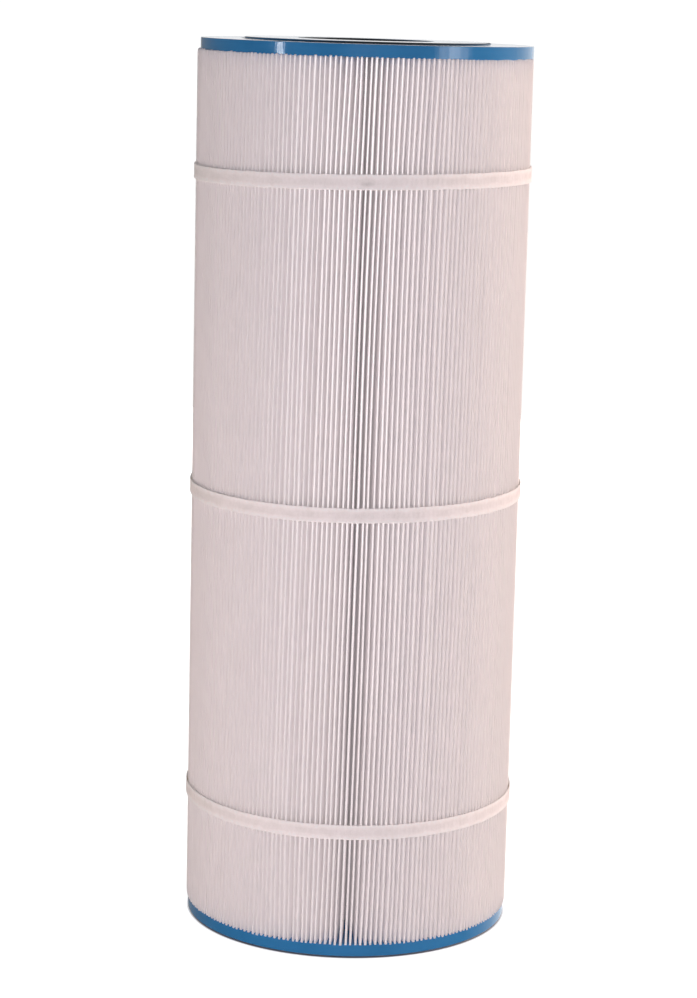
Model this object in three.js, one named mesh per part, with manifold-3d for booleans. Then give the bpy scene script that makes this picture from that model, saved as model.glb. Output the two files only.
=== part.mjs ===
// Pleated filter cartridge for a pool or spa, open at both ends, standing on its bottom end cap.
// Millimetres, +Z up. The origin is the centre of the bottom bearing face; the back is +Y.

import * as THREE from 'three';
import { mergeVertices } from 'three/addons/utils/BufferGeometryUtils.js';
import Module from 'manifold-3d';

const wasm = await Module();
wasm.setup();

// ---------------------------------------------------------------- driving dimensions

const LENGTH = 603.25; // bearing face to bearing face, 23 3/4 in

// End caps: cast discs with an open centre. Both ends are the same casting.
const CAP_RADIUS = 111.2;
const CAP_THICKNESS = 9.5; // bearing face to the end of the media
const HOLE_RADIUS = 44.45; // 3 1/2 in open end
const HOLE_CHAMFER = 1;
const BEARING_RADIUS = 82; // the raised bearing face reaches out to here
const BEARING_RISE = 1.25; // how far it stands above the outer land
const BEARING_SLOPE_RUN = 1.5;
const SHOULDER_RADIUS = 0.6; // round between the outer land and the side wall
const SHOULDER_STEPS = 2;

// Pleated media: one sheet folded into radial pleats.
const PLEAT_COUNT = 209;
const PLEAT_TIP_RADIUS = 112.3;
const PLEAT_ROOT_RADIUS = 62;
const SHEET_THICKNESS = 0.5;
const TIP_FOLD_RADIUS = 0.7; // outside of the round fold at each tip
const TIP_FOLD_STEPS = 3;
const ROOT_FOLD_WIDTH = 1.1; // flat across the outside of a fold, at the roots
const SEAM_ANGLE = Math.PI / 2; // the sheet's two ends meet at the back
const SEAM_GAP = 0.7;

// Hot-melt line that closes the sheet into a ring.
const SEAM_BEAD_WIDTH = 0.5;
const SEAM_BEAD_DEPTH = 6;

// Retaining bands: straps round the pleats, each lapped over its own start and held by a bead.
const BAND_NAMES = ['lower', 'middle', 'upper'];
const BAND_SPACING = 213.75; // between band centres, the middle one at mid-length
const BAND_WIDTH = 10.5;
const BAND_THICKNESS = 0.6;
const BAND_OUTER_RADIUS = 113.5; // 227 mm, 8 15/16 in over the bands
const BAND_LAP_FACETS = 2;
const BAND_LAP_ANGLE = Math.PI / 4; // where the lap starts, behind the right side
const BAND_BEAD_WIDTH = 5;
const BAND_BEAD_INNER_RADIUS = 112.5;
const BAND_BEAD_THICKNESS = 0.25;

// Core: moulded lattice sections that plug into each other, spigot down and socket up.
const CORE_SECTION_COUNT = 5;
const CORE_OUTER_RADIUS = 61;
const CORE_INNER_RADIUS = 55.5;
const CORE_END_PLAY = 0.25; // between each end of the stack and its cap
const JOINT_CLEARANCE = 0.3;
const SPIGOT_RADIUS = 57.9;
const SPIGOT_LENGTH = 6;
const CORE_COLUMN_COUNT = 12;
const CORE_ROW_COUNT = 2;
const CORE_WINDOW_WIDTH = 22;
const CORE_RING_HEIGHT = 8; // solid ring below each row of windows
const CORE_TOP_RING_HEIGHT = 14; // solid ring round the socket

// Facets round each turned piece.
const CAP_FACETS = 60;
const BAND_FACETS = 60;
const CORE_FACETS = 24;

// ---------------------------------------------------------------- worked out from those

const MEDIA_LENGTH = LENGTH - 2 * CAP_THICKNESS;
const PLEAT_PITCH_ANGLE = (2 * Math.PI) / PLEAT_COUNT;
const CORE_PITCH = (MEDIA_LENGTH - 2 * CORE_END_PLAY) / CORE_SECTION_COUNT;
const SOCKET_RADIUS = SPIGOT_RADIUS + JOINT_CLEARANCE;
const SOCKET_DEPTH = SPIGOT_LENGTH + JOINT_CLEARANCE;
const CORE_WINDOW_HEIGHT =
  (CORE_PITCH - CORE_TOP_RING_HEIGHT) / CORE_ROW_COUNT - CORE_RING_HEIGHT;

// ---------------------------------------------------------------- materials

const MATERIALS = {
  cap: { color: 0x29699d, roughness: 0.25, metalness: 0 },
  media: { color: 0xf2eeee, roughness: 0.9, metalness: 0 },
  band: { color: 0xefe6e0, roughness: 0.85, metalness: 0 },
  adhesive: { color: 0xe6dcc4, roughness: 0.4, metalness: 0 },
  core: { color: 0xe9e9e4, roughness: 0.5, metalness: 0 },
};

// ---------------------------------------------------------------- helpers

function polar(radius, angle) {
  return new THREE.Vector2(radius * Math.cos(angle), radius * Math.sin(angle));
}

// Position-only copy of a geometry, with its shared vertices merged.
function mergedGeometry(geometry) {
  const bare = geometry.clone();
  bare.deleteAttribute('normal');
  bare.deleteAttribute('uv');
  return mergeVertices(bare);
}

function toSolid(geometry) {
  const merged = mergedGeometry(geometry);
  return new wasm.Manifold(new wasm.Mesh({
    numProp: 3,
    vertProperties: new Float32Array(merged.attributes.position.array),
    triVerts: new Uint32Array(merged.index.array),
  }));
}

function toGeometry(solid) {
  const mesh = solid.getMesh();
  const geometry = new THREE.BufferGeometry();
  geometry.setAttribute('position', new THREE.BufferAttribute(mesh.vertProperties, 3));
  geometry.setIndex(new THREE.BufferAttribute(mesh.triVerts, 1));
  geometry.computeVertexNormals();
  return geometry;
}

// Ring turned about Z from a closed outline of [radius, height] points, listed anticlockwise.
function turnedRing(outline, facets) {
  const points = [...outline, outline[0]].map(([radius, height]) => new THREE.Vector2(radius, height));
  const geometry = new THREE.LatheGeometry(points, facets);
  geometry.rotateX(Math.PI / 2);
  return geometry;
}

function rectangle(innerRadius, outerRadius, bottom, top) {
  return [[innerRadius, bottom], [outerRadius, bottom], [outerRadius, top], [innerRadius, top]];
}

function namedMesh(name, geometry, look) {
  const mesh = new THREE.Mesh(geometry, new THREE.MeshStandardMaterial(look));
  mesh.name = name;
  return mesh;
}

// ---------------------------------------------------------------- end caps

// Cap lying bearing face down, its inner face at CAP_THICKNESS.
function capGeometry() {
  const outline = [
    [HOLE_RADIUS, HOLE_CHAMFER],
    [HOLE_RADIUS + HOLE_CHAMFER, 0],
    [BEARING_RADIUS, 0],
    [BEARING_RADIUS + BEARING_SLOPE_RUN, BEARING_RISE],
  ];
  for (let step = 0; step <= SHOULDER_STEPS; step++) {
    const turn = (step / SHOULDER_STEPS) * (Math.PI / 2);
    outline.push([
      CAP_RADIUS - SHOULDER_RADIUS * (1 - Math.sin(turn)),
      BEARING_RISE + SHOULDER_RADIUS * (1 - Math.cos(turn)),
    ]);
  }
  outline.push([CAP_RADIUS, CAP_THICKNESS], [HOLE_RADIUS, CAP_THICKNESS]);
  return turnedRing(outline, CAP_FACETS);
}

function bottomEndCap() {
  return namedMesh('bottom_end_cap', capGeometry(), MATERIALS.cap);
}

function topEndCap() {
  const cap = namedMesh('top_end_cap', capGeometry(), MATERIALS.cap);
  cap.rotation.x = Math.PI;
  cap.position.z = LENGTH;
  return cap;
}

// ---------------------------------------------------------------- media

// Half-round fold at a pleat tip: points from the clockwise flank to the anticlockwise one.
function tipFold(tip, radius, steps) {
  const centre = PLEAT_TIP_RADIUS - TIP_FOLD_RADIUS;
  const points = [];
  for (let step = 0; step <= steps; step++) {
    const turn = (step / steps - 0.5) * Math.PI;
    const out = centre + radius * Math.cos(turn);
    const across = radius * Math.sin(turn);
    points.push(polar(out, tip + across / out));
  }
  return points;
}

// The sheet's outline, seen from above: out along its outer surface, back along its inner one.
function sheetOutline() {
  const rootHalfAngle = ROOT_FOLD_WIDTH / 2 / PLEAT_ROOT_RADIUS;
  const seamHalfAngle = SEAM_GAP / 2 / PLEAT_ROOT_RADIUS;
  const sheetAngle = SHEET_THICKNESS / PLEAT_ROOT_RADIUS;
  const outer = [polar(PLEAT_ROOT_RADIUS, SEAM_ANGLE + seamHalfAngle)];
  const inner = [polar(PLEAT_ROOT_RADIUS, SEAM_ANGLE + seamHalfAngle + sheetAngle)];
  for (let pleat = 0; pleat < PLEAT_COUNT; pleat++) {
    const tip = SEAM_ANGLE + (pleat + 0.5) * PLEAT_PITCH_ANGLE;
    const root = tip + PLEAT_PITCH_ANGLE / 2;
    outer.push(...tipFold(tip, TIP_FOLD_RADIUS, TIP_FOLD_STEPS));
    inner.push(...tipFold(tip, TIP_FOLD_RADIUS - SHEET_THICKNESS, 1));
    if (pleat < PLEAT_COUNT - 1) {
      outer.push(polar(PLEAT_ROOT_RADIUS + SHEET_THICKNESS, root));
      inner.push(polar(PLEAT_ROOT_RADIUS, root - rootHalfAngle), polar(PLEAT_ROOT_RADIUS, root + rootHalfAngle));
    }
  }
  outer.push(polar(PLEAT_ROOT_RADIUS, SEAM_ANGLE - seamHalfAngle));
  inner.push(polar(PLEAT_ROOT_RADIUS, SEAM_ANGLE - seamHalfAngle - sheetAngle));
  return [...outer, ...inner.reverse()];
}

function pleatedMedia() {
  const sheet = new THREE.Shape(sheetOutline());
  const geometry = new THREE.ExtrudeGeometry(sheet, { depth: MEDIA_LENGTH, bevelEnabled: false });
  const media = namedMesh('pleated_media', geometry, MATERIALS.media);
  media.position.z = CAP_THICKNESS;
  return media;
}

function seamAdhesive() {
  const geometry = new THREE.BoxGeometry(SEAM_BEAD_WIDTH, SEAM_BEAD_DEPTH, MEDIA_LENGTH);
  const bead = namedMesh('seam_adhesive', geometry, MATERIALS.adhesive);
  bead.position.set(0, PLEAT_ROOT_RADIUS + SEAM_BEAD_DEPTH / 2, LENGTH / 2);
  return bead;
}

// ---------------------------------------------------------------- retaining bands

// One more layer of strap over the last facets of the ring, where the strap ends.
function bandLap() {
  const facetAngle = (2 * Math.PI) / BAND_FACETS;
  const outer = [];
  const inner = [];
  for (let corner = 0; corner <= BAND_LAP_FACETS; corner++) {
    const angle = BAND_LAP_ANGLE + corner * facetAngle;
    outer.push(polar(BAND_OUTER_RADIUS + BAND_THICKNESS, angle));
    inner.push(polar(BAND_OUTER_RADIUS - BAND_THICKNESS / 2, angle));
  }
  const layer = new THREE.Shape([...outer, ...inner.reverse()]);
  const geometry = new THREE.ExtrudeGeometry(layer, { depth: BAND_WIDTH, bevelEnabled: false });
  return geometry.translate(0, 0, -BAND_WIDTH / 2);
}

function bandGeometry() {
  const section = rectangle(
    BAND_OUTER_RADIUS - BAND_THICKNESS, BAND_OUTER_RADIUS, -BAND_WIDTH / 2, BAND_WIDTH / 2,
  );
  return toGeometry(toSolid(turnedRing(section, BAND_FACETS)).add(toSolid(bandLap())));
}

function bandBeadGeometry() {
  const section = rectangle(
    BAND_BEAD_INNER_RADIUS, BAND_BEAD_INNER_RADIUS + BAND_BEAD_THICKNESS,
    -BAND_BEAD_WIDTH / 2, BAND_BEAD_WIDTH / 2,
  );
  return turnedRing(section, BAND_FACETS);
}

function retainingBands() {
  const bands = new THREE.Group();
  BAND_NAMES.forEach((place, index) => {
    const pair = new THREE.Group();
    pair.add(namedMesh(`${place}_band`, bandGeometry(), MATERIALS.band));
    pair.add(namedMesh(`${place}_band_adhesive`, bandBeadGeometry(), MATERIALS.adhesive));
    pair.position.z = LENGTH / 2 + (index - 1) * BAND_SPACING;
    bands.add(pair);
  });
  return bands;
}

// ---------------------------------------------------------------- core

// Outline of one section, its outer wall from height 0 to CORE_PITCH. The lowest section has no
// spigot and the highest has no socket, because those ends face the caps.
function coreOutline(isLowest, isHighest) {
  const spigot = isLowest
    ? [[CORE_INNER_RADIUS, 0]]
    : [[CORE_INNER_RADIUS, -SPIGOT_LENGTH], [SPIGOT_RADIUS, -SPIGOT_LENGTH], [SPIGOT_RADIUS, 0]];
  const socket = isHighest
    ? [[CORE_INNER_RADIUS, CORE_PITCH]]
    : [
      [SOCKET_RADIUS, CORE_PITCH],
      [SOCKET_RADIUS, CORE_PITCH - SOCKET_DEPTH],
      [CORE_INNER_RADIUS, CORE_PITCH - SOCKET_DEPTH],
    ];
  return [...spigot, [CORE_OUTER_RADIUS, 0], [CORE_OUTER_RADIUS, CORE_PITCH], ...socket];
}

function coreWindow(column, row) {
  const wall = CORE_OUTER_RADIUS - CORE_INNER_RADIUS;
  const geometry = new THREE.BoxGeometry(3 * wall, CORE_WINDOW_WIDTH, CORE_WINDOW_HEIGHT);
  const bottom = CORE_RING_HEIGHT + row * (CORE_WINDOW_HEIGHT + CORE_RING_HEIGHT);
  geometry.translate(CORE_OUTER_RADIUS - wall / 2, 0, bottom + CORE_WINDOW_HEIGHT / 2);
  geometry.rotateZ((column / CORE_COLUMN_COUNT) * 2 * Math.PI);
  return geometry;
}

function coreSectionGeometry(index) {
  const outline = coreOutline(index === 0, index === CORE_SECTION_COUNT - 1);
  let section = toSolid(turnedRing(outline, CORE_FACETS));
  for (let row = 0; row < CORE_ROW_COUNT; row++) {
    for (let column = 0; column < CORE_COLUMN_COUNT; column++) {
      section = section.subtract(toSolid(coreWindow(column, row)));
    }
  }
  return toGeometry(section);
}

function core() {
  const stack = new THREE.Group();
  for (let index = 0; index < CORE_SECTION_COUNT; index++) {
    const section = namedMesh(`core_section_${index + 1}`, coreSectionGeometry(index), MATERIALS.core);
    section.position.z = CAP_THICKNESS + CORE_END_PLAY + index * CORE_PITCH;
    stack.add(section);
  }
  return stack;
}

// ---------------------------------------------------------------- the whole cartridge

const cartridge = new THREE.Group();
cartridge.add(bottomEndCap(), topEndCap(), pleatedMedia(), seamAdhesive(), retainingBands(), core());

export default cartridge;
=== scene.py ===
"""Looks for the pleated pool filter cartridge, built round its CAD frame. Metres, +Z up, front at -Y."""

import math

import bpy
import numpy as np
from mathutils import Matrix, Vector

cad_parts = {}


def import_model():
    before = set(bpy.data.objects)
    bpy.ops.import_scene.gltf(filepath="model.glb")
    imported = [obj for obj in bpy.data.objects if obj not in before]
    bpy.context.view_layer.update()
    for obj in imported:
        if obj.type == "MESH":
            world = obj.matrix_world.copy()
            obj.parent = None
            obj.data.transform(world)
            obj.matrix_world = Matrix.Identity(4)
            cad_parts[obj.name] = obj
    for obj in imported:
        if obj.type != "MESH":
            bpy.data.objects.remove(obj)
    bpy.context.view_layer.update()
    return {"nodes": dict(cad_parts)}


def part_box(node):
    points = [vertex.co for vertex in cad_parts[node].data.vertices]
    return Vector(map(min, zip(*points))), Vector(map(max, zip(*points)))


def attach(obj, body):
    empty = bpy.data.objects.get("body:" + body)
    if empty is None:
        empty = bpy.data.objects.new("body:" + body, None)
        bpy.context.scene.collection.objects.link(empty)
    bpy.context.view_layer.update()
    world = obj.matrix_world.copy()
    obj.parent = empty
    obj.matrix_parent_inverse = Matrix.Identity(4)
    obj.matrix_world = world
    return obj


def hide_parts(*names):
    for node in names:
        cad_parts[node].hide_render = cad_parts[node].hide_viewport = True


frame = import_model()

# ---------------------------------------------------------------- sizes

MM = 0.001
TAU = 2 * math.pi
SEED = 1209

PLEAT_COUNT = 209
PLEAT_PITCH = TAU / PLEAT_COUNT
FOLD_RADIUS = 0.70 * MM  # half the width of the fold at a pleat tip
FOLD_CROWN = 0.45  # height of that fold as a share of its half width: the tips are pressed flat
PLEAT_BOW = 0.9 * MM  # how far the pleats' middles bow sideways
ROOT_FOLD_RADIUS = 0.42 * MM
MIN_TIP_GAP = 0.9 * MM  # neighbouring tips never come closer
PLEAT_LEAN = math.radians(1.0)  # how far the pleats lean to the right, going up
PLEAT_LEAN_SWING = 0.3  # share of the lean that comes and goes along the height
PLEAT_LEAN_WAVES = 1.05  # how many times it does
EVENING_PASSES = 80  # the more, the slower a pleat's shape changes along its height
TIP_PASSES = 12  # rounds of pushing neighbouring tips apart
CORE_SECTIONS = 5
CORE_COLUMNS = 12  # of windows, each split by a thin bar
CORE_ROWS = 2
CORE_RING = 8 * MM
CORE_TOP_RING = 14 * MM
CORE_BAR_HALF = 5.0 * MM
CORE_THIN_BAR_HALF = 1.4 * MM
CORE_STEPS = 144  # points round each ring

# Small errors of assembly that show from the front.
TOP_CAP_SHIFT = 1.0 * MM  # the top cap sits this far to the right of the pleats
TOP_CAP_TILT = math.radians(0.3)  # and this much lower on the right
BAND_TILTS = {"lower_band": 0.0, "middle_band": 0.0055, "upper_band": 0.0087}  # rise to the right

# Where the photograph was taken from.
LENS = 98.0
CAMERA_DISTANCE = 1.8386  # from the cartridge's axis
CAMERA_HEIGHT = 0.6322
CAMERA_PITCH = math.radians(10.51)
CAMERA_YAW = -0.0024
CAMERA_ROLL = 0.0240

WORLD_DIFFUSE = 0.12  # light from all round
WORLD_BACKDROP = 1.05  # how bright the studio looks behind the cartridge
FLOOR_GLOW = 0.95  # how bright the floor looks
FLOOR_BOUNCE = 0.25  # how much light it sends up
FLOOR_HALF = 12.0
# name: azimuth and elevation in degrees (0, 0 is the camera's side), distance, width, height in metres,
# radiance, and what it does: "gloss" shows in shiny surfaces only, "fill" only lights them
LIGHTS = {
    "strip_left": (-60, 8, 1.7, 0.12, 1.5, (16, 16, 16), "gloss"),
    "softbox_right": (59, 8, 1.7, 0.85, 1.4, (3.3, 3.3, 3.3), "gloss"),
    "overhead": (0, 80, 1.6, 1.4, 1.4, (0.1, 0.1, 0.1), "fill"),
    "fill_left": (-95, -13, 0.9, 0.5, 0.3, (1.4, 0.7, 0.3), "fill"),
    "fill_front_left": (-24, -18, 0.9, 0.5, 0.3, (6.2, 5.0, 4.7), "fill"),
    "fill_front": (-4, 0, 2.2, 0.6, 1.4, (4.95, 4.3, 5.05), "fill"),
    "fill_back": (180, 12, 2.2, 0.8, 1.6, (5.0, 4.7, 4.7), "fill"),
    "fill_right": (100, 9, 2.2, 0.9, 1.6, (9.2, 7.1, 6.3), "fill"),
}
SOFTBOX_STREAKS = 2.5  # bright streaks across a softbox as the gloss shows it
LIGHT_BOUNCES = 24  # light goes deep into the white folds

# Share of the light that goes through a thin piece instead of back.
MEDIA_THROUGH = 0.35
BAND_THROUGH = 0.04
GLUE_THROUGH = 0.5
# Painted light on the cloth, as glow: the seeps stand in for light that arrives through it, the crest shine
# is a painted highlight.
MEDIA_SEEP = 0.016  # in the deep folds, from the open bore
BAND_SEEP = 0.1  # through a strap, from the pleats behind it
CREST_SHINE = 0.75  # painted highlight on the crests that face the viewer
CREST_SHARPNESS = 12.0  # the higher, the narrower the shine on each crest
CREST_SPREAD = 6.0  # the higher, the fewer crests shine, counted from the one nearest the viewer


def radii(node):
    """Distance from the axis, and height, of each vertex of a CAD node."""
    points = np.array([v.co for v in frame["nodes"][node].data.vertices])
    return np.hypot(points[:, 0], points[:, 1]), points[:, 2]


def cap_sizes():
    """Radii of the bottom cap's features, from its CAD vertices."""
    radius, height = radii("bottom_end_cap")
    on_face = radius[height < 1e-6]
    low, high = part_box("bottom_end_cap")
    past_face = height[(radius > on_face.max() + 1e-6) & (radius < radius.max() - 1e-6)]
    return {
        "outer": radius.max(),
        "hole": radius.min(),
        "face_outer": on_face.max(),
        "rise": past_face.min(),
        "thickness": high.z - low.z,
    }


CAP = cap_sizes()
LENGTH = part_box("top_end_cap")[1].z
MEDIA_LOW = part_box("pleated_media")[0].z
MEDIA_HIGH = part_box("pleated_media")[1].z
TIP_RADIUS = radii("pleated_media")[0].max()
ROOT_RADIUS = radii("pleated_media")[0].min()
BAND_NAMES = ("lower_band", "middle_band", "upper_band")


def band_level(name):
    low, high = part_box(name)
    return (low.z + high.z) / 2


# ---------------------------------------------------------------- meshes


def mesh_object(name, points, faces):
    mesh = bpy.data.meshes.new(name)
    mesh.from_pydata(points, [], faces)
    mesh.polygons.foreach_set("use_smooth", [True] * len(mesh.polygons))
    mesh.update()
    obj = bpy.data.objects.new(name, mesh)
    bpy.context.scene.collection.objects.link(obj)
    return obj


def grid_faces(rows, columns, wrap_rows=False, wrap_columns=True, first=0):
    """Four-sided faces between neighbouring points of a grid stored row by row."""
    row = np.arange(rows if wrap_rows else rows - 1)
    column = np.arange(columns if wrap_columns else columns - 1)
    r, c = np.meshgrid(row, column, indexing="ij")
    next_r, next_c = (r + 1) % rows, (c + 1) % columns
    corners = [r * columns + c, r * columns + next_c, next_r * columns + next_c, next_r * columns + c]
    return (np.stack(corners, axis=-1).reshape(-1, 4) + first).tolist()


def polar_points(radius, angle, height):
    radius, angle, height = np.broadcast_arrays(radius, angle, height)
    return np.stack([radius * np.cos(angle), radius * np.sin(angle), height], axis=-1)


def turned(outline, angles):
    """Closed ring of points: outline is (radius, height) pairs, anticlockwise; angles may be any circle."""
    radius = np.array([p[0] for p in outline])[:, None]
    height = np.array([p[1] for p in outline])[:, None]
    return polar_points(radius, angles[None, :], height)


def smooth_noise(random, count, width, rows=1):
    """Rows of noise round a circle of count places, each place alike to about width of its neighbours."""
    white = random.standard_normal((rows, count))
    if width > 0:
        offset = np.minimum(np.arange(count), count - np.arange(count))
        kernel = np.exp(-0.5 * (offset / width) ** 2)
        white = np.real(np.fft.ifft(np.fft.fft(white, axis=1) * np.fft.fft(kernel), axis=1))
    return white / white.std(axis=1, keepdims=True)


# ---------------------------------------------------------------- pleated media


def row_heights():
    """Heights of the media's rows, closest together where the pleats run into the caps."""
    end = np.array([-0.9, -0.65, -0.25, 0.4, 2.5, 9.0]) * MM
    middle = np.linspace(MEDIA_LOW + 22 * MM, MEDIA_HIGH - 22 * MM, 26)
    return np.concatenate([MEDIA_LOW + end, middle, MEDIA_HIGH - end[::-1]])


def twist(height):
    """Turn of the whole pleat pack at a height."""
    share = (height - MEDIA_LOW) / (MEDIA_HIGH - MEDIA_LOW)
    wave = PLEAT_LEAN_SWING * np.sin(TAU * PLEAT_LEAN_WAVES * share) / (TAU * PLEAT_LEAN_WAVES)
    return math.tan(PLEAT_LEAN) * (share + wave) * (MEDIA_HIGH - MEDIA_LOW) / TIP_RADIUS


def tip_places(random, heights, fold_radius):
    """Angle of each pleat's tip at each height: held at the caps and bands, wandering between them."""
    held = np.array([MEDIA_LOW] + [band_level(n) for n in BAND_NAMES] + [MEDIA_HIGH])
    spans = len(held) - 1
    at_held = 0.10 * smooth_noise(random, PLEAT_COUNT, 3.0, len(held))
    at_held += 0.05 * smooth_noise(random, PLEAT_COUNT, 0.0, len(held))
    bow = 0.05 * smooth_noise(random, PLEAT_COUNT, 2.0, spans)
    bow += 0.03 * smooth_noise(random, PLEAT_COUNT, 0.0, spans)
    places = np.zeros((len(heights), PLEAT_COUNT))
    for j, z in enumerate(heights):
        span = int(np.clip(np.searchsorted(held, z) - 1, 0, spans - 1))
        t = float(np.clip((z - held[span]) / (held[span + 1] - held[span]), 0, 1))
        ease = t * t * (3 - 2 * t)
        offset = (1 - ease) * at_held[span] + ease * at_held[span + 1]
        offset = offset + bow[span] * math.sin(math.pi * t)
        places[j] = (np.arange(PLEAT_COUNT) + offset) * PLEAT_PITCH + twist(z)
    for _ in range(TIP_PASSES):
        gap = np.roll(places, -1, axis=1) - places
        gap[:, -1] += TAU
        wanted = (fold_radius + np.roll(fold_radius, -1, axis=1) + MIN_TIP_GAP) / TIP_RADIUS
        push = np.maximum(0, wanted - gap) / 2
        places += np.roll(push, 1, axis=1) - push
    return places


def depth_of(heights):
    """Distance of each height from the nearer cap; below zero once inside it."""
    return np.minimum(heights - MEDIA_LOW, MEDIA_HIGH - heights)


def tip_ends(random, heights):
    """Height and inward pull of each tip: each pleat ends in a round tooth over the cap's edge."""
    over = np.clip(-depth_of(heights), 0, None)
    share = (over / over.max())[:, None]
    tooth = np.clip(0.3 + 0.45 * np.abs(smooth_noise(random, PLEAT_COUNT, 0.0, 2)), 0.3, 1.4)
    length = np.where((heights < LENGTH / 2)[:, None], tooth[0], tooth[1])
    z = heights[:, None] + np.where(heights < LENGTH / 2, over, -over)[:, None] * (1 - length)
    bury = TIP_RADIUS - CAP["outer"] + 0.35 * MM
    near_cap = np.clip(1 - depth_of(heights) / (2.5 * MM), 0, 1)[:, None]
    return z, bury * (1 - np.sqrt(1 - share**2)) + 0.25 * MM * near_cap**2 * (1 - share)


def along_pleats(noise):
    """The same noise evened out from row to row."""
    for _ in range(EVENING_PASSES):
        noise = (np.roll(noise, 1, axis=0) + 2 * noise + np.roll(noise, -1, axis=0)) / 4
    return noise


def follow_top_cap(points):
    """Tilt the media's top edge with the top cap."""
    share = np.clip((points[..., 2] - MEDIA_HIGH + 60 * MM) / (60 * MM), 0, 1)
    points[..., 2] -= share * share * points[..., 0] * math.tan(TOP_CAP_TILT)


def pleated_media():
    """The folded sheet as one closed ring of pleats. Also returns the tips' angles, row by row."""
    random = np.random.default_rng(SEED)
    heights = row_heights()
    rows = len(heights)
    width_noise = along_pleats(0.04 * smooth_noise(random, PLEAT_COUNT, 0.0, rows))
    fold = FOLD_RADIUS * np.clip(1 + 0.14 * smooth_noise(random, PLEAT_COUNT, 0.0) + width_noise, 0.7, 1.35)
    bow = PLEAT_BOW * (1 + 0.5 * smooth_noise(random, PLEAT_COUNT, 1.5))
    bow = bow + along_pleats(0.5 * MM * smooth_noise(random, PLEAT_COUNT, 1.0, rows))
    tip = tip_places(random, heights, fold)
    even_root = (np.arange(PLEAT_COUNT) - 0.5) * PLEAT_PITCH + twist(heights)[:, None]
    pulled_root = (tip + np.roll(tip, 1, axis=1)) / 2
    pulled_root[:, 0] -= math.pi
    root = (even_root + pulled_root) / 2
    next_root = np.roll(root, -1, axis=1)
    next_root[:, -1] += TAU
    middle = (root + next_root) / 2
    z_tip, pull = tip_ends(random, heights)
    tip_radius = TIP_RADIUS - np.abs(0.12 * MM * smooth_noise(random, PLEAT_COUNT, 0.5)) - pull
    reach = tip_radius - fold * FOLD_CROWN
    z_inner = np.clip(heights, MEDIA_LOW - 0.5 * MM, MEDIA_HIGH + 0.5 * MM)[:, None]
    root_side = ROOT_RADIUS + ROOT_FOLD_RADIUS
    near_root = PLEAT_PITCH / 2 * root_side - ROOT_FOLD_RADIUS

    def flank(share, side):
        radius = root_side + share * (reach - root_side)
        half = (1 - share) * near_root + share * fold
        sideways = side * half + (4 * share * (1 - share)) ** 2 * bow
        angle = middle + (tip - middle) * share + sideways / radius
        return radius, angle, z_inner + share * (z_tip - z_inner)

    sections = [(np.full_like(root, ROOT_RADIUS), root, z_inner)]
    sections.append((np.full_like(root, root_side), root + ROOT_FOLD_RADIUS / root_side, z_inner))
    sections += [flank(0.5, -1), flank(0.87, -1)]
    for turn in np.linspace(0, math.pi, 5):
        crown = FOLD_CROWN * fold * math.sin(turn)
        sections.append((reach + crown, tip - fold * math.cos(turn) / reach, z_tip))
    sections += [flank(0.87, 1), flank(0.5, 1)]
    sections.append((np.full_like(root, root_side), next_root - ROOT_FOLD_RADIUS / root_side, z_inner))
    points = np.stack([polar_points(*section) for section in sections], axis=2)
    follow_top_cap(points)
    faces = grid_faces(rows, PLEAT_COUNT * len(sections))
    media = mesh_object("media", points.reshape(-1, 3).tolist(), faces)
    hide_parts("pleated_media")
    return media, heights, tip


# ---------------------------------------------------------------- bands

ACROSS = "across"  # mesh attribute: place across the strap, -0.5 at its lower edge, 0.5 at its upper


def around(per_pleat):
    """Angles of a ring with this many points to each pleat."""
    return (np.arange(PLEAT_COUNT * per_pleat) / (PLEAT_COUNT * per_pleat)) * TAU


def tips_at(level, heights, tip):
    row = int(np.argmin(np.abs(heights - level)))
    lower = row if heights[row] <= level else row - 1
    t = (level - heights[lower]) / (heights[lower + 1] - heights[lower])
    return (1 - t) * tip[lower] + t * tip[lower + 1]


def tip_closeness(angles, tips):
    """1 over a tip, 0 halfway between tips, for each angle."""
    wrapped = (angles[:, None] - tips[None, :] + math.pi) % TAU - math.pi
    nearest = np.abs(wrapped).min(axis=1)
    return 0.5 + 0.5 * np.cos(np.clip(nearest / (PLEAT_PITCH / 2), 0, 1) * math.pi)


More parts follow.
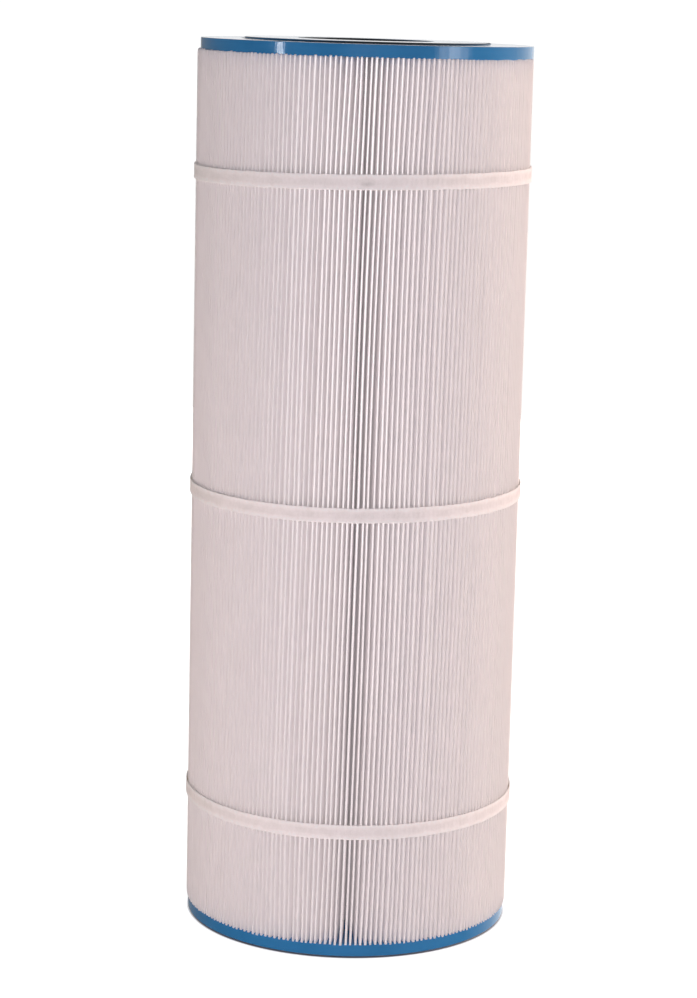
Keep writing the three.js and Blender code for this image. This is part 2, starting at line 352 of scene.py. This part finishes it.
def strap(name, node, tips, random):
    """Fabric strap lying on the pleat tips, drawn in a little between them, lapped over its own start."""
    low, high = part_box(node)
    level, width = (low.z + high.z) / 2, high.z - low.z
    outer = radii(node)[0]
    lap_radius = outer.max()
    ring_radius = high.x
    thickness = lap_radius - ring_radius
    angles = around(4)
    close = tip_closeness(angles, tips)
    sag = 0.16 * MM * (1 - close)
    drift = 0.35 * MM * smooth_noise(random, len(angles), 60.0)[0]
    fray_top = 0.10 * MM * smooth_noise(random, len(angles), 1.6)[0]
    fray_low = 0.10 * MM * smooth_noise(random, len(angles), 1.6)[0]
    # (share of the width, depth below the outer face), clockwise from the lower outer edge
    half_face = [(0.12, 0.13), (0.32, 0.10), (0.41, 0.0), (0.47, 0.05), (0.5, 0.25), (0.5, 0.55)]
    profile = [(-share, depth) for share, depth in reversed(half_face)] + [(0.0, 0.17)] + half_face
    profile += [(0.45, 1.0), (-0.45, 1.0)]

    def layer(select, radius, lift, shrink):
        rows = []
        for share, depth in profile:
            fray = np.where(share > 0.4, fray_top, np.where(share < -0.4, fray_low, 0))[select]
            r = radius + lift - depth * thickness - sag[select] * (1 - 0.4 * abs(share) * 2)
            z = level + share * (width - 0.6 * MM) * shrink + drift[select] + fray
            rows.append(polar_points(r, angles[select], z))
        return np.stack(rows)

    everywhere = np.arange(len(angles))
    ring = layer(everywhere, ring_radius, 0, 1.0)
    lap_from, lap_to = lap_range(node, ring_radius)
    lap_select = everywhere[(angles >= lap_from) & (angles <= lap_to)]
    ends = np.minimum(lap_select - lap_select[0], lap_select[-1] - lap_select)
    lift = thickness * np.clip(0.72 + 0.28 * ends / 4, 0, 1) * 0.95
    lap = layer(lap_select, ring_radius, lift, 0.985)
    points = np.concatenate([ring.reshape(-1, 3), lap.reshape(-1, 3)])
    count = len(profile)
    faces = grid_faces(count, len(angles), wrap_rows=True)
    first = count * len(angles)
    faces += grid_faces(count, len(lap_select), wrap_rows=True, wrap_columns=False, first=first)
    faces.append([first + k * len(lap_select) for k in range(count)])
    faces.append([first + k * len(lap_select) + len(lap_select) - 1 for k in reversed(range(count))])
    points[:, 2] += points[:, 0] * BAND_TILTS[node]
    obj = mesh_object(name, points.tolist(), faces)
    shares = np.array([share for share, _ in profile])
    across = np.concatenate([np.repeat(shares, len(angles)), np.repeat(shares, len(lap_select))])
    obj.data.attributes.new(ACROSS, "FLOAT", "POINT").data.foreach_set("value", across)
    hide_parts(node)
    return obj


def lap_range(node, ring_radius):
    """First and last angle of the stretch where the CAD band is a layer thicker."""
    points = np.array([v.co for v in frame["nodes"][node].data.vertices])
    thick = points[np.hypot(points[:, 0], points[:, 1]) > ring_radius + 0.1 * MM]
    angles = np.arctan2(thick[:, 1], thick[:, 0]) % TAU
    return angles.min(), angles.max()


def glue_bead(name, node, tips, random):
    """Hot melt under a strap, thick between the tips and thin over them."""
    low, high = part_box(node)
    level, width = (low.z + high.z) / 2, high.z - low.z
    angles = around(4)
    close = tip_closeness(angles, tips)
    outer = high.x - 0.05 * MM - 0.15 * MM * (1 - close)
    depth = 0.3 * MM + 1.5 * MM * (1 - close) * (1 + 0.25 * smooth_noise(random, len(angles), 1.0)[0])
    half = width / 2 * (1 + 0.12 * smooth_noise(random, len(angles), 2.0)[0])
    rows = []
    for share, inward in [(-1, 0.1), (0, 0.0), (1, 0.1), (0.9, 0.7), (0, 1.0), (-0.9, 0.7)]:
        rows.append(polar_points(outer - inward * depth, angles, level + share * half))
    points = np.stack(rows).reshape(-1, 3)
    points[:, 2] += points[:, 0] * BAND_TILTS[node.removesuffix("_adhesive")]
    obj = mesh_object(name, points.tolist(), grid_faces(len(rows), len(angles), wrap_rows=True))
    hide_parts(node)
    return obj


# ---------------------------------------------------------------- end caps


def arc(centre, radius, start, end, steps):
    """Points on an arc, in (radius, height), angles in degrees anticlockwise from outward."""
    turns = np.radians(np.linspace(start, end, steps + 1))
    return [(centre[0] + radius * math.cos(t), centre[1] + radius * math.sin(t)) for t in turns]


def cap_outline():
    """Bottom cap, anticlockwise from the hole's inner edge, as (radius, height)."""
    outer, hole, rise = CAP["outer"], CAP["hole"], CAP["rise"]
    shoulder, small = 0.45 * MM, 0.35 * MM
    lip = 1.2 * MM
    outline = [(hole, CAP["thickness"])]
    outline += [(hole, lip + 3 * MM)]
    outline += arc((hole + lip, lip), lip, 180, 270, 6)
    outline += [(hole + 12 * MM, 0), (CAP["face_outer"] - 8 * MM, 0)]
    outline += arc((CAP["face_outer"] - small, small), small, 270, 350, 4)
    outline += arc((CAP["face_outer"] + 2 * small, rise - small), small, 170, 90, 4)
    outline += [(CAP["face_outer"] + 8 * MM, rise), (outer - 4 * MM, rise)]
    outline += arc((outer - shoulder, rise + shoulder), shoulder, 270, 360, 6)
    outline += [(outer, 0.55 * CAP["thickness"]), (outer, 0.8 * CAP["thickness"])]
    outline += arc((outer - small, CAP["thickness"] - small), small, 0, 90, 3)
    outline += [(outer - 3 * MM, CAP["thickness"])]
    return outline


def end_cap(name, node, is_top, random):
    angles = around(4)
    outline = cap_outline()
    points = turned(outline, angles)
    radius = np.hypot(points[..., 0], points[..., 1])
    near_edge = np.clip((radius - CAP["outer"] + 4 * MM) / (4 * MM), 0, 1)
    near_edge *= np.clip((points[..., 2] / CAP["thickness"] - 0.82) / 0.18, 0, 1)
    points[..., 2] += near_edge * 0.14 * MM * smooth_noise(random, len(angles), 3.0)[0]
    if is_top:
        points[..., 2] = LENGTH - points[..., 2] - points[..., 0] * math.tan(TOP_CAP_TILT)
        points[..., 0] += TOP_CAP_SHIFT
        points = points[::-1]
    faces = grid_faces(len(outline), len(angles), wrap_rows=True)
    obj = mesh_object(name, points.reshape(-1, 3).tolist(), faces)
    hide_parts(node)
    return obj


# ---------------------------------------------------------------- core


def rounded_ring(inner, outer, low, high, corner=0.8 * MM):
    outline = []
    for centre, start in (
        ((outer - corner, low + corner), 270),
        ((outer - corner, high - corner), 0),
        ((inner + corner, high - corner), 90),
        ((inner + corner, low + corner), 180),
    ):
        outline += arc(centre, corner, start, start + 90, 3)
    return outline


def core_section(index, node):
    """One moulded lattice section: rings joined by upright bars."""
    low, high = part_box(node)
    outer = high.x
    inner = radii(node)[0].min()
    spigot = index > 0
    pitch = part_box("core_section_1")[1].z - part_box("core_section_1")[0].z
    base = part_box("core_section_1")[0].z + index * pitch
    window = (pitch - CORE_TOP_RING) / CORE_ROWS - CORE_RING
    angles = np.arange(CORE_STEPS) / CORE_STEPS * TAU
    points, faces = [], []

    def add(grid, wrap_columns=True):
        rows, columns = grid.shape[:2]
        first = sum(len(p) for p in points)
        faces.extend(grid_faces(rows, columns, wrap_rows=True, wrap_columns=wrap_columns, first=first))
        points.append(grid.reshape(-1, 3))

    for row in range(CORE_ROWS):
        ring_low = base + row * (window + CORE_RING)
        add(turned(rounded_ring(inner, outer, ring_low, ring_low + CORE_RING), angles))
        mid = ring_low + CORE_RING + window / 2
        add(turned(rounded_ring(inner + 1.2 * MM, outer - 1.2 * MM, mid - 1.5 * MM, mid + 1.5 * MM), angles))
    top_low = base + pitch - CORE_TOP_RING
    add(turned(rounded_ring(inner, outer, top_low, base + pitch), angles))
    if spigot:
        add(turned(rounded_ring(inner, inner + 2.4 * MM, low.z, base + 4 * MM), angles))
    for column in range(2 * CORE_COLUMNS):
        main = column % 2 == 1
        half = CORE_BAR_HALF if main else CORE_THIN_BAR_HALF
        inset = (0.3 if main else 1.4) * MM
        centre = column / (2 * CORE_COLUMNS) * TAU
        outline = rounded_ring(inner + inset, outer - inset, -half, half, 0.7 * MM)
        bar_heights = np.linspace(base + 2 * MM, base + pitch - 2 * MM, 3)
        grid = np.zeros((len(outline), 3, 3))
        for k, (radius, sideways) in enumerate(outline):
            grid[k] = polar_points(radius, centre + sideways / radius, bar_heights)
        add(grid[::-1], wrap_columns=False)
    obj = mesh_object(f"lattice_{index + 1}", np.concatenate(points).tolist(), faces)
    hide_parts(node)
    return obj


# ---------------------------------------------------------------- materials


class Tree:
    """Short names for building a tree of shader nodes."""

    def __init__(self, tree):
        self.tree = tree

    def add(self, kind, **settings):
        node = self.tree.nodes.new(kind)
        for key, value in settings.items():
            if key in node.inputs:
                node.inputs[key].default_value = value
            else:
                setattr(node, key, value)
        return node

    def link(self, start, end):
        self.tree.links.new(start, end)

    def math(self, operation, a, b=None):
        node = self.add("ShaderNodeMath", operation=operation)
        for socket, value in zip(node.inputs, (a, b)):
            if isinstance(value, float):
                socket.default_value = value
            elif value is not None:
                self.link(value, socket)
        return node.outputs["Value"]

    def ramp(self, value, low, high, start, end):
        node = self.add("ShaderNodeMapRange")
        node.inputs["From Min"].default_value = low
        node.inputs["From Max"].default_value = high
        node.inputs["To Min"].default_value = start
        node.inputs["To Max"].default_value = end
        self.link(value, node.inputs["Value"])
        return node.outputs["Result"]


class Nodes(Tree):
    """One material's tree, with its principled shader."""

    def __init__(self, name):
        self.material = bpy.data.materials.new(name)
        self.material.use_nodes = True
        super().__init__(self.material.node_tree)
        self.shader = self.tree.nodes["Principled BSDF"]

    def set(self, **values):
        for key, value in values.items():
            self.shader.inputs[key.replace("_", " ")].default_value = value

    def let_through(self, share, colour):
        """Let this share of the light through instead of back, as a thin sheet does."""
        sheet = self.add("ShaderNodeBsdfTranslucent")
        self.link(colour, sheet.inputs["Color"])
        mix = self.add("ShaderNodeMixShader", Fac=share)
        self.link(self.shader.outputs[0], mix.inputs[1])
        self.link(sheet.outputs[0], mix.inputs[2])
        self.link(mix.outputs[0], self.tree.nodes["Material Output"].inputs["Surface"])

    def coordinates(self, scale=(1, 1, 1)):
        place = self.add("ShaderNodeTexCoord")
        mapping = self.add("ShaderNodeMapping")
        mapping.inputs["Scale"].default_value = scale
        self.link(place.outputs["Object"], mapping.inputs["Vector"])
        return mapping.outputs["Vector"]

    def noise(self, vector, scale, detail=3.0, roughness=0.5):
        node = self.add("ShaderNodeTexNoise", Scale=scale, Detail=detail, Roughness=roughness)
        self.link(vector, node.inputs["Vector"])
        return node.outputs["Fac"]

    def mix(self, factor, a, b):
        node = self.add("ShaderNodeMix", data_type="RGBA")
        self.link(factor, node.inputs["Factor"])
        for socket, value in ((node.inputs[6], a), (node.inputs[7], b)):
            if isinstance(value, tuple):
                socket.default_value = (*value, 1)
            else:
                self.link(value, socket)
        return node.outputs[2]

    def bump(self, height, strength, distance, before=None):
        node = self.add("ShaderNodeBump", Strength=strength, Distance=distance)
        self.link(height, node.inputs["Height"])
        if before is not None:
            self.link(before, node.inputs["Normal"])
        return node.outputs["Normal"]


def painted_glow(m):
    """Painted light on the media: a faint glow everywhere, and a painted highlight on the crests of the
    pleats nearest the viewer.
    """
    surface = m.add("ShaderNodeNewGeometry")

    def towards_viewer(direction, sharpness):
        dot = m.add("ShaderNodeVectorMath", operation="DOT_PRODUCT")
        m.link(direction, dot.inputs[0])
        m.link(surface.outputs["Incoming"], dot.inputs[1])
        return m.math("POWER", m.math("ABSOLUTE", dot.outputs["Value"]), sharpness)

    from_axis = m.coordinates((1, 1, 0))
    outwards = m.add("ShaderNodeVectorMath", operation="NORMALIZE")
    m.link(from_axis, outwards.inputs[0])
    radius = m.add("ShaderNodeVectorMath", operation="LENGTH")
    m.link(from_axis, radius.inputs[0])
    crest = m.ramp(radius.outputs["Value"], TIP_RADIUS - 1.0 * MM, TIP_RADIUS - 0.45 * MM, 0, 1)
    # the painted highlight shows to camera rays only
    seen = m.math("MULTIPLY", crest, m.add("ShaderNodeLightPath").outputs["Is Camera Ray"])
    facing = m.math("MULTIPLY", towards_viewer(surface.outputs["Normal"], CREST_SHARPNESS),
                    towards_viewer(outwards.outputs["Vector"], CREST_SPREAD))
    shine = m.math("MULTIPLY", m.math("MULTIPLY", facing, seen), CREST_SHINE / (1 - MEDIA_THROUGH))
    return m.math("ADD", shine, MEDIA_SEEP)


def media_material():
    """White spun-bonded polyester that lets light through, with fine fibres, faint mottling and no gloss,
    plus a painted glow and a painted highlight on the crests facing the viewer.
    """
    m = Nodes("media_fabric")
    fibres = m.noise(m.coordinates((1, 1, 0.35)), 2600, 4, 0.6)
    cloud = m.noise(m.coordinates((1, 1, 0.3)), 60, 3, 0.55)
    white = m.mix(m.ramp(cloud, 0.3, 0.7, 0, 1), (0.982, 0.974, 0.975), (0.988, 0.982, 0.982))
    colour = m.mix(m.ramp(fibres, 0.35, 0.75, 0, 0.25), white, (0.985, 0.975, 0.975))
    normal = m.bump(fibres, 0.35, 0.12 * MM)
    m.link(colour, m.shader.inputs["Base Color"])
    m.link(normal, m.shader.inputs["Normal"])
    m.set(Roughness=0.9, Specular_IOR_Level=0.15, Emission_Color=(1, 0.955, 0.96, 1))
    m.link(painted_glow(m), m.shader.inputs["Emission Strength"])
    m.let_through(MEDIA_THROUGH, colour)
    return m.material


def stain(m, cloud):
    """Where a small handling mark lies on the front of the upper strap."""
    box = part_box("upper_band")
    middle = (3.3 * MM, box[0].y, band_level("upper_band") - 0.8 * MM)
    away = m.add("ShaderNodeVectorMath", operation="DISTANCE")
    m.link(m.coordinates((0.6, 1, 1.5)), away.inputs[0])
    away.inputs[1].default_value = (0.6 * middle[0], middle[1], 1.5 * middle[2])
    spread = m.ramp(away.outputs["Value"], 0.5 * MM, 3.0 * MM, 0.5, 0)
    return m.math("MULTIPLY", spread, m.ramp(cloud, 0.3, 0.6, 0.6, 1))


def band_material():
    """White non-woven strap: pale bound edges, a slightly dull middle and cross fibres."""
    m = Nodes("band_fabric")
    threads = m.noise(m.coordinates((1, 1, 1)), 1300, 4, 0.65)
    cloud = m.noise(m.coordinates(), 90, 3, 0.5)
    wander = m.math("MULTIPLY", m.math("SUBTRACT", m.noise(m.coordinates(), 160, 2, 0.5), 0.5), 0.35)
    across = m.add("ShaderNodeAttribute", attribute_name=ACROSS).outputs["Fac"]
    from_middle = m.math("ABSOLUTE", m.math("ADD", across, wander))
    middle = m.mix(m.ramp(cloud, 0.3, 0.7, 0, 1), (0.81, 0.745, 0.735), (0.91, 0.845, 0.845))
    white = m.mix(m.ramp(from_middle, 0.14, 0.38, 0, 1), middle, (0.985, 0.925, 0.925))
    mottle = m.noise(m.coordinates((1, 1, 0.6)), 420, 3, 0.6)
    white = m.mix(m.ramp(mottle, 0.35, 0.65, 0.25, 0), white, (0.70, 0.64, 0.62))
    white = m.mix(m.ramp(threads, 0.35, 0.7, 0, 0.3), white, (0.99, 0.95, 0.95))
    colour = m.mix(stain(m, cloud), white, (0.40, 0.36, 0.34))
    m.link(colour, m.shader.inputs["Base Color"])
    m.set(Roughness=0.85, Specular_IOR_Level=0.25)
    m.set(Emission_Color=(0.8, 1, 0.97, 1), Emission_Strength=BAND_SEEP)
    m.link(m.bump(threads, 0.6, 0.2 * MM), m.shader.inputs["Normal"])
    m.let_through(BAND_THROUGH, colour)
    return m.material


def painted_step_shade(m):
    """Where shade is painted on a cap, dark and dull: in the step of its face and in its hole."""
    from_axis = m.add("ShaderNodeVectorMath", operation="LENGTH")
    m.link(m.coordinates((1, 1, 0)), from_axis.inputs[0])
    radius = from_axis.outputs["Value"]
    outer, hole = CAP["face_outer"], CAP["hole"]
    into_step = m.ramp(radius, outer - 0.5 * MM, outer, 0, 1)
    out_of_step = m.ramp(radius, outer + 0.8 * MM, outer + 1.6 * MM, 1, 0)
    in_hole = m.ramp(radius, hole + 0.5 * MM, hole + 1.5 * MM, 1, 0)
    return m.math("MAXIMUM", m.math("MULTIPLY", into_step, out_of_step), in_hole)


def cap_material():
    """Glossy blue plastisol with faint upright ripples, specks, and painted shade, dark and dull, in the step
    of its face and in its hole.
    """
    m = Nodes("end_cap_plastisol")
    ripples = m.noise(m.coordinates((1, 1, 0.02)), 260, 2, 0.5)
    waves = m.noise(m.coordinates((1, 1, 0.15)), 38, 2, 0.4)
    grain = m.noise(m.coordinates(), 1400, 3, 0.6)
    cloud = m.noise(m.coordinates(), 28, 3, 0.5)
    blue = m.mix(m.ramp(cloud, 0.3, 0.7, 0, 1), (0.034, 0.215, 0.475), (0.044, 0.250, 0.540))
    unshaded_blue = m.mix(m.ramp(grain, 0.66, 0.8, 0, 0.25), blue, (0.05, 0.33, 0.66))
    step_shade = painted_step_shade(m)
    # painted shade: dark slate in the step of the face and in the hole, rougher and with little gloss there
    m.link(m.mix(step_shade, unshaded_blue, (0.075, 0.09, 0.10)), m.shader.inputs["Base Color"])
    shine = m.ramp(cloud, 0.3, 0.7, 0.09, 0.14)
    m.link(m.math("ADD", shine, m.math("MULTIPLY", step_shade, 0.5)), m.shader.inputs["Roughness"])
    m.link(m.ramp(step_shade, 0, 1, 0.5, 0.02), m.shader.inputs["Specular IOR Level"])
    m.set(IOR=1.5)
    normal = m.bump(ripples, 0.55, 0.25 * MM)
    normal = m.bump(waves, 0.25, 0.8 * MM, normal)
    normal = m.bump(grain, 0.04, 0.05 * MM, normal)
    m.link(normal, m.shader.inputs["Normal"])
    return m.material


def glue_material():
    """Set hot melt: cloudy amber, half gloss."""
    m = Nodes("hot_melt")
    cloud = m.noise(m.coordinates(), 240, 3, 0.5)
    colour = m.mix(m.ramp(cloud, 0.3, 0.7, 0, 1), (0.62, 0.52, 0.34), (0.78, 0.70, 0.54))
    m.link(colour, m.shader.inputs["Base Color"])
    m.link(m.ramp(cloud, 0.3, 0.7, 0.25, 0.45), m.shader.inputs["Roughness"])
    m.link(m.bump(cloud, 0.3, 0.3 * MM), m.shader.inputs["Normal"])
    m.let_through(GLUE_THROUGH, colour)
    return m.material


def core_material():
    """Natural white moulded plastic with a fine spark-eroded grain."""
    m = Nodes("core_plastic")
    grain = m.noise(m.coordinates(), 1800, 3, 0.6)
    cloud = m.noise(m.coordinates((1, 1, 0.4)), 30, 3, 0.5)
    colour = m.mix(m.ramp(cloud, 0.3, 0.7, 0, 1), (0.72, 0.72, 0.68), (0.80, 0.80, 0.77))
    m.link(colour, m.shader.inputs["Base Color"])
    m.link(m.ramp(grain, 0.3, 0.7, 0.38, 0.52), m.shader.inputs["Roughness"])
    m.set(Subsurface_Weight=0.1, Subsurface_Scale=1.0 * MM)
    m.link(m.bump(grain, 0.15, 0.05 * MM), m.shader.inputs["Normal"])
    return m.material


def dress(obj, material):
    obj.data.materials.clear()
    obj.data.materials.append(material)


# ---------------------------------------------------------------- stage


def floor():
    """Plain white table, glowing bright enough to read as white; the glow stops under the cartridge, a
    painted shadow in the gap under its rim.
    """
    signs = [(-1, -1), (1, -1), (1, 1), (-1, 1)]
    corners = [(x * FLOOR_HALF, y * FLOOR_HALF, -0.02 * MM) for x, y in signs]
    obj = mesh_object("floor", corners, [(0, 1, 2, 3)])
    m = Nodes("floor_white")
    m.set(Base_Color=(0.6, 0.6, 0.6, 1), Roughness=0.9, Specular_IOR_Level=0.0, Emission_Color=(1, 1, 1, 1))
    path = m.add("ShaderNodeLightPath")
    distance = m.add("ShaderNodeVectorMath", operation="LENGTH")
    m.link(m.coordinates(), distance.inputs[0])
    # painted shadow: no glow where the floor lies under the cartridge
    away = m.ramp(distance.outputs["Value"], CAP["outer"] - 1 * MM, CAP["outer"] + 1 * MM, 0, 1)
    strength = m.math("MULTIPLY", away, m.ramp(path.outputs["Is Camera Ray"], 0, 1, FLOOR_BOUNCE, FLOOR_GLOW))
    m.link(strength, m.shader.inputs["Emission Strength"])
    dress(obj, m.material)
    obj.visible_glossy = False


def world():
    """White studio to the camera; behind the cartridge bright to its gloss, except on the left."""
    sky = bpy.data.worlds.new("studio")
    sky.use_nodes = True
    sky.node_tree.nodes.clear()
    studio = Tree(sky.node_tree)

    def background(strength):
        node = studio.add("ShaderNodeBackground", Color=(1, 1, 1, 1))
        if isinstance(strength, float):
            node.inputs["Strength"].default_value = strength
        else:
            studio.link(strength, node.inputs["Strength"])
        return node.outputs["Background"]

    def choose(share, a, b):
        node = studio.add("ShaderNodeMixShader")
        studio.link(share, node.inputs["Fac"])
        studio.link(a, node.inputs[1])
        studio.link(b, node.inputs[2])
        return node.outputs["Shader"]

    place = studio.add("ShaderNodeTexCoord")
    split = studio.add("ShaderNodeSeparateXYZ")
    studio.link(place.outputs["Generated"], split.inputs["Vector"])
    to_the_back = studio.ramp(split.outputs["Y"], 0.1, 0.8, 0.12, 1.1)
    from_the_left = studio.ramp(split.outputs["X"], -0.22, -0.12, 0.25, 1.0)
    in_gloss = studio.math("MULTIPLY", to_the_back, from_the_left)
    path = studio.add("ShaderNodeLightPath")
    light = choose(path.outputs["Is Glossy Ray"], background(WORLD_DIFFUSE), background(in_gloss))
    light = choose(path.outputs["Is Camera Ray"], light, background(WORLD_BACKDROP))
    output = studio.add("ShaderNodeOutputWorld")
    studio.link(light, output.inputs["Surface"])
    bpy.context.scene.world = sky


def fade_sides(data):
    """Let a softbox fade and streak across its width, as a lamp behind cloth does."""
    data.use_nodes = True
    lamp = Tree(data.node_tree)
    place = lamp.add("ShaderNodeNewGeometry")
    split = lamp.add("ShaderNodeSeparateXYZ")
    lamp.link(place.outputs["Parametric"], split.inputs["Vector"])
    across = split.outputs["X"]
    hill = lamp.math("MULTIPLY", across, lamp.math("SUBTRACT", 1.0, across))
    wave = lamp.math("SINE", lamp.math("MULTIPLY", across, SOFTBOX_STREAKS * TAU))
    streaks = lamp.math("ADD", lamp.math("MULTIPLY", wave, 0.25), 1.0)
    strength = lamp.math("MULTIPLY", lamp.math("MULTIPLY", hill, 5.2), streaks)
    lamp.link(strength, lamp.tree.nodes["Emission"].inputs["Strength"])


def softbox(name, azimuth, elevation, distance, width, height, radiance, use):
    """Area light aimed at the cartridge's middle. Azimuth 0 is the camera's side, 90 is the right."""
    a, e = math.radians(azimuth), math.radians(elevation)
    aim = Vector((0, 0, LENGTH / 2))
    away = Vector((math.sin(a) * math.cos(e), -math.cos(a) * math.cos(e), math.sin(e)))
    data = bpy.data.lights.new(name, "AREA")
    data.shape = "RECTANGLE"
    data.size, data.size_y = width, height
    data.energy = math.pi * width * height
    data.color = radiance
    if use == "gloss":
        fade_sides(data)
    obj = bpy.data.objects.new(name, data)
    obj.location = aim + away * distance
    obj.rotation_mode = "QUATERNION"
    obj.rotation_quaternion = away.to_track_quat("Z", "Y")
    obj.visible_camera = False
    obj.visible_glossy = use == "gloss"
    obj.visible_diffuse = use == "fill"
    obj.visible_transmission = use == "fill"
    bpy.context.scene.collection.objects.link(obj)
    return obj


def lights():
    for name, settings in LIGHTS.items():
        softbox(name, *settings)


def camera():
    pitch, yaw, roll = CAMERA_PITCH, CAMERA_YAW, CAMERA_ROLL
    ahead = Vector((math.sin(yaw) * math.cos(pitch), math.cos(yaw) * math.cos(pitch), -math.sin(pitch)))
    right = Vector((math.cos(yaw), -math.sin(yaw), 0))
    up = right.cross(ahead)
    side = math.cos(roll) * right + math.sin(roll) * up
    top = -math.sin(roll) * right + math.cos(roll) * up
    data = bpy.data.cameras.new("camera")
    data.lens = LENS
    data.sensor_width = 36
    data.clip_end = 100
    obj = bpy.data.objects.new("camera", data)
    turn = Matrix((side, top, -ahead)).transposed().to_4x4()
    obj.matrix_world = Matrix.Translation((0, -CAMERA_DISTANCE, CAMERA_HEIGHT)) @ turn
    bpy.context.scene.collection.objects.link(obj)
    bpy.context.scene.camera = obj


# ---------------------------------------------------------------- the whole scene


def build():
    random = np.random.default_rng(SEED + 1)
    media, heights, tip = pleated_media()
    dress(media, media_material())
    pieces = [media]

    band_look, glue_look = band_material(), glue_material()
    for node in BAND_NAMES:
        tips = tips_at(band_level(node), heights, tip)
        band = strap(node.replace("band", "strap"), node, tips, random)
        dress(band, band_look)
        bead = glue_bead(node.replace("band", "glue"), f"{node}_adhesive", tips, random)
        dress(bead, glue_look)
        pieces += [band, bead]

    cap_look = cap_material()
    for name, node, is_top in (("cap_bottom", "bottom_end_cap", False), ("cap_top", "top_end_cap", True)):
        cap = end_cap(name, node, is_top, random)
        dress(cap, cap_look)
        pieces.append(cap)

    core_look = core_material()
    for index in range(CORE_SECTIONS):
        section = core_section(index, f"core_section_{index + 1}")
        dress(section, core_look)
        pieces.append(section)
    dress(frame["nodes"]["seam_adhesive"], glue_look)
    for piece in pieces:
        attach(piece, "root")


build()
floor()
world()
lights()
camera()
bpy.context.scene.view_settings.view_transform = "Standard"
for limit in ("max_bounces", "diffuse_bounces", "transmission_bounces"):
    setattr(bpy.context.scene.cycles, limit, LIGHT_BOUNCES)
